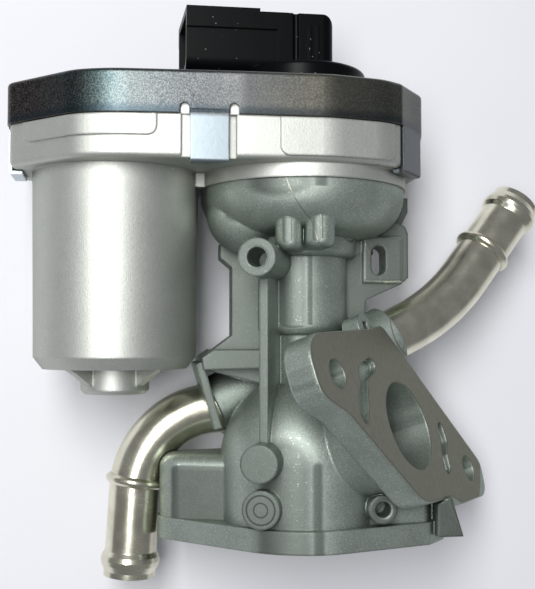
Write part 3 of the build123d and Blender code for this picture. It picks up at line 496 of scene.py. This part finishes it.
class EGR_OT_pipes(bpy.types.Operator):
    """Finish the two coolant pipes in satin nickel"""
    bl_idname = "egr.pipes"
    bl_label = "Coolant pipes"

    def execute(self, context):
        settings = context.scene.egr_trim
        finish = Finish("pipe_nickel_plate", Metallic=1.0)
        haze = finish.noise(5 * MM, detail=4)
        drawn = finish.noise(0.5 * MM, detail=2)
        tone = finish.fade(haze, 0.3, 0.7)
        colour = finish.blend(tone, scaled(settings.plating, 0.82), settings.plating)
        finish.drive(Base_Color=colour, Roughness=0.24 + (drawn - 0.5) * 0.12 + (haze - 0.5) * 0.1,
                     Normal=finish.bump(drawn, 0.012 * MM, finish.soft_normal(0.3 * MM)))
        dress(finish, "coolant_inlet_pipe", "coolant_outlet_pipe")
        return {"FINISHED"}


# ---- inner pieces --------------------------------------------------------------------------
def plain_metal(name, colour, roughness, streak):
    """Turned or rolled metal: fine streaks in tone and roughness."""
    finish = Finish(name, Metallic=1.0)
    streaks = finish.noise(streak, detail=3, stretch=(1, 1, 6))
    finish.drive(
        Base_Color=finish.blend(streaks, scaled(colour, 0.72), colour),
        Roughness=roughness + (streaks - 0.5) * 0.18,
        Normal=finish.bump(streaks, 0.01 * MM))
    return finish


def dull_solid(name, colour, roughness, grain):
    """Plastic, rubber, ceramic or fibre: mottled tone and a fine skin."""
    finish = Finish(name)
    skin = finish.noise(grain, detail=3)
    finish.drive(
        Base_Color=finish.blend(skin, scaled(colour, 0.65), colour),
        Roughness=roughness + (skin - 0.5) * 0.2,
        Normal=finish.bump(skin, 0.03 * MM))
    return finish


class EGR_OT_valve(bpy.types.Operator):
    """Finish the poppet valve, its seat and guide, and the bushings"""
    bl_idname = "egr.valve"
    bl_label = "Valve and guide"

    def execute(self, context):
        steel = plain_metal("stem_ground_steel", shade(190, 188, 182), 0.22, 0.8 * MM)
        dress(steel, "valve_stem", "cross_pin", "crosshead")
        head = plain_metal("head_heat_steel", shade(150, 142, 134), 0.4, 1.5 * MM)
        dress(head, "valve_head")
        seat = plain_metal("seat_turned_steel", shade(172, 168, 160), 0.32, 0.9 * MM)
        dress(seat, "valve_seat", "guide_sleeve", "seal_cap")
        bronze = plain_metal("bush_sintered_bronze", shade(172, 132, 84), 0.45, 0.7 * MM)
        dress(bronze, "stem_bushing", "rear_bushing", "front_bushing", "thrust_washer")
        return {"FINISHED"}


class EGR_OT_gears(bpy.types.Operator):
    """Finish the gear train, its bearing and the return spring"""
    bl_idname = "egr.gears"
    bl_label = "Gear train"

    def execute(self, context):
        nylon = dull_solid("gear_glass_nylon", shade(196, 190, 172), 0.45, 0.8 * MM)
        dress(nylon, "output_gear", "idler_gear")
        steel = plain_metal("gear_hard_steel", shade(168, 168, 168), 0.3, 0.6 * MM)
        dress(steel, "motor_pinion", "idler_pin", "idler_clip", "gear_bearing")
        spring = plain_metal("spring_wire", shade(120, 124, 130), 0.28, 0.5 * MM)
        dress(spring, "return_spring")
        return {"FINISHED"}


class EGR_OT_motor(bpy.types.Operator):
    """Finish the motor, its screws, and the housing's screws and dowel"""
    bl_idname = "egr.motor"
    bl_label = "Motor"

    def execute(self, context):
        shell = plain_metal("shell_zinc_steel", shade(186, 188, 190), 0.34, 2.5 * MM)
        dress(shell, "motor_shell", "motor_plate", "motor_screws", "joint_screws", "joint_dowel")
        shaft = plain_metal("shaft_ground_steel", shade(198, 198, 196), 0.2, 0.6 * MM)
        dress(shaft, "motor_shaft")
        stack = plain_metal("core_laminations", shade(120, 122, 126), 0.5, 0.5 * MM)
        dress(stack, "armature_core")
        copper = plain_metal("winding_copper", shade(196, 112, 62), 0.35, 0.5 * MM)
        dress(copper, "armature_windings", "commutator")
        ferrite = dull_solid("magnet_ferrite", shade(62, 62, 64), 0.6, 1.0 * MM)
        dress(ferrite, "motor_magnets")
        carbon = dull_solid("brush_carbon", shade(48, 47, 48), 0.5, 0.5 * MM)
        dress(carbon, "brushes")
        card = dull_solid("brush_card_phenolic", shade(92, 60, 38), 0.55, 0.9 * MM)
        dress(card, "brush_card")
        coil = plain_metal("brush_spring_steel", shade(176, 170, 150), 0.3, 0.4 * MM)
        dress(coil, "brush_springs")
        return {"FINISHED"}


class EGR_OT_sensor(bpy.types.Operator):
    """Finish the position sensor under the cap"""
    bl_idname = "egr.sensor"
    bl_label = "Position sensor"

    def execute(self, context):
        board = dull_solid("board_green_laminate", shade(34, 88, 58), 0.35, 1.5 * MM)
        dress(board, "sensor_board")
        chip = dull_solid("chip_epoxy", shade(38, 38, 40), 0.45, 0.4 * MM)
        dress(chip, "sensor_chip")
        magnet = plain_metal("magnet_nickel", shade(196, 194, 186), 0.3, 0.8 * MM)
        dress(magnet, "sensor_magnet")
        return {"FINISHED"}


class EGR_OT_seals(bpy.types.Operator):
    """Finish the seals, the gasket and the cap's retainer"""
    bl_idname = "egr.seals"
    bl_label = "Seals"

    def execute(self, context):
        settings = context.scene.egr_trim
        rubber = dull_solid("seal_moulded_rubber", settings.rubber, 0.6, 0.8 * MM)
        dress(rubber, "body_seal", "cap_seal", "cover_gasket", "stem_seal")
        ring = plain_metal("retainer_spring_steel", shade(150, 150, 152), 0.35, 0.8 * MM)
        dress(ring, "cap_retainer")
        return {"FINISHED"}


# ---- stage ---------------------------------------------------------------------------------
class EGR_OT_stage(bpy.types.Operator):
    """Lay a pale table behind the valve and set the lamp and the camera"""
    bl_idname = "egr.stage"
    bl_label = "Stage"

    def execute(self, context):
        settings = context.scene.egr_stage
        self.lay_table(context, settings)
        self.light_room(context, settings)
        self.hang_lamp(context, settings)
        self.set_camera(context, settings)
        context.scene.view_settings.view_transform = "Standard"
        return {"FINISHED"}

    def lay_table(self, context, settings):
        """The valve lies on its back, so the table is upright in the valve's own frame."""
        back = CAD_BOX[1][1] + settings.table_gap
        half = settings.table_span / 2
        corners = [(-half, -half), (half, -half), (half, half), (-half, half)]
        bm = bmesh.new()
        bm.faces.new([bm.verts.new((CAD_MIDDLE.x + x, back, CAD_MIDDLE.z + z)) for x, z in corners])
        mesh = bpy.data.meshes.new("table_top")
        bm.to_mesh(mesh)
        bm.free()
        table = bpy.data.objects.new("table_top", mesh)
        context.scene.collection.objects.link(table)
        finish = Finish("table_white_card", Roughness=0.75)
        tone = finish.noise(60 * MM, detail=2)
        finish.drive(Base_Color=finish.blend(tone, shade(238, 239, 244), shade(244, 244, 248)))
        # seen from behind, the table lets the view through
        behind = finish.node("ShaderNodeNewGeometry", output="Backfacing")
        clear = finish.node("ShaderNodeBsdfTransparent")
        seen = finish.node("ShaderNodeMixShader", {}, {
            0: behind, 1: Wire(finish, finish.surface.outputs[0]), 2: clear})
        finish.fill(finish.tree.nodes["Material Output"].inputs["Surface"], seen)
        mesh.materials.append(finish.material)

    def light_room(self, context, settings):
        """Even light from all sides."""
        world = bpy.data.worlds.new("room")
        context.scene.world = world
        world.use_nodes = True
        ground = world.node_tree.nodes["Background"]
        ground.inputs["Color"].default_value = SKY
        ground.inputs["Strength"].default_value = settings.room_light

    def hang_lamp(self, context, settings):
        """One large panel, up to the left, aimed at the middle of the valve."""
        lamp = bpy.data.lights.new("key_panel", "AREA")
        lamp.shape = "RECTANGLE"
        lamp.size, lamp.size_y = KEY_SIZE
        lamp.energy = settings.key_power
        placed = bpy.data.objects.new("key_panel", lamp)
        placed.location = KEY_PLACE
        placed.rotation_euler = (CAD_MIDDLE - Vector(KEY_PLACE)).to_track_quat("-Z", "Y").to_euler()
        context.scene.collection.objects.link(placed)

    def set_camera(self, context, settings):
        camera = bpy.data.cameras.new("camera")
        camera.lens = settings.lens
        camera.clip_start = 0.01
        placed = bpy.data.objects.new("camera", camera)
        placed.location = CAMERA_PLACE
        placed.rotation_euler = (math.radians(CAMERA_TILT), 0, math.radians(CAMERA_TURN))
        context.scene.collection.objects.link(placed)
        context.scene.camera = placed


# ---- panel and run -------------------------------------------------------------------------
OPERATORS = (EGR_OT_castings, EGR_OT_cover, EGR_OT_connector, EGR_OT_pipes, EGR_OT_valve,
             EGR_OT_gears, EGR_OT_motor, EGR_OT_sensor, EGR_OT_seals, EGR_OT_stage)
SETTINGS = {"egr_castings": EGR_CastingSettings, "egr_cover": EGR_CoverSettings,
            "egr_trim": EGR_TrimSettings, "egr_stage": EGR_StageSettings}


class EGR_PT_panel(bpy.types.Panel):
    """Lists the valve's operators in the 3D view's sidebar"""
    bl_idname = "EGR_PT_panel"
    bl_label = "EGR valve"
    bl_space_type = "VIEW_3D"
    bl_region_type = "UI"
    bl_category = "EGR valve"

    def draw(self, context):
        for name in SETTINGS:
            group = getattr(context.scene, name)
            for key in group.__annotations__:
                self.layout.prop(group, key)
        for operator in OPERATORS:
            self.layout.operator(operator.bl_idname)


def register():
    for made in (*SETTINGS.values(), *OPERATORS, EGR_PT_panel):
        bpy.utils.register_class(made)
    for name, group in SETTINGS.items():
        setattr(bpy.types.Scene, name, PointerProperty(type=group))


def unregister():
    for name in SETTINGS:
        delattr(bpy.types.Scene, name)
    for made in reversed((*SETTINGS.values(), *OPERATORS, EGR_PT_panel)):
        bpy.utils.unregister_class(made)


def main():
    register()
    for operator in OPERATORS:
        group, name = operator.bl_idname.split(".")
        getattr(getattr(bpy.ops, group), name)()


if __name__ == "__main__":
    main()
